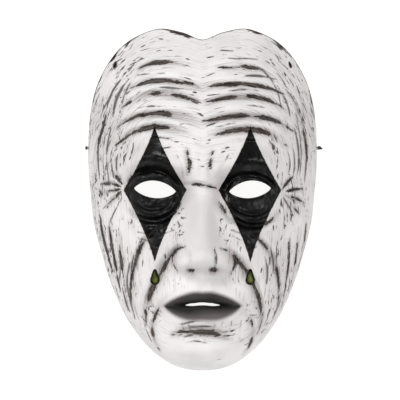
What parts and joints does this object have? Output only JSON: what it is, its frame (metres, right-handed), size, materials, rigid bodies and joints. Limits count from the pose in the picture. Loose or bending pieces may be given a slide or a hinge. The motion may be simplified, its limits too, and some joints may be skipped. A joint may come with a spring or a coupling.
{
  "type": "clown mask",
  "caption": "Moulded rubber clown mask of an aged face, white with black eye paint, cut eyes and mouth, and a knotted elastic cord.",
  "frame": {"origin": "on the surface the mask lies on, under the middle of its outline", "axes": "+Y from chin to forehead, +Z out of the face, +X to the right of someone looking at the face"},
  "size_m": [0.1733, 0.245, 0.1001],
  "materials": {
    "painted_rubber": "matte off-white paint with a dark brown wash in the furrows, black round the eyes and on the lips",
    "black_elastic": "matte black braided elastic"
  },
  "bodies": {
    "root": {"mask_shell": "painted_rubber", "head_cord": "black_elastic", "knot_right": "black_elastic", "knot_left": "black_elastic"}
  },
  "joints": []
}
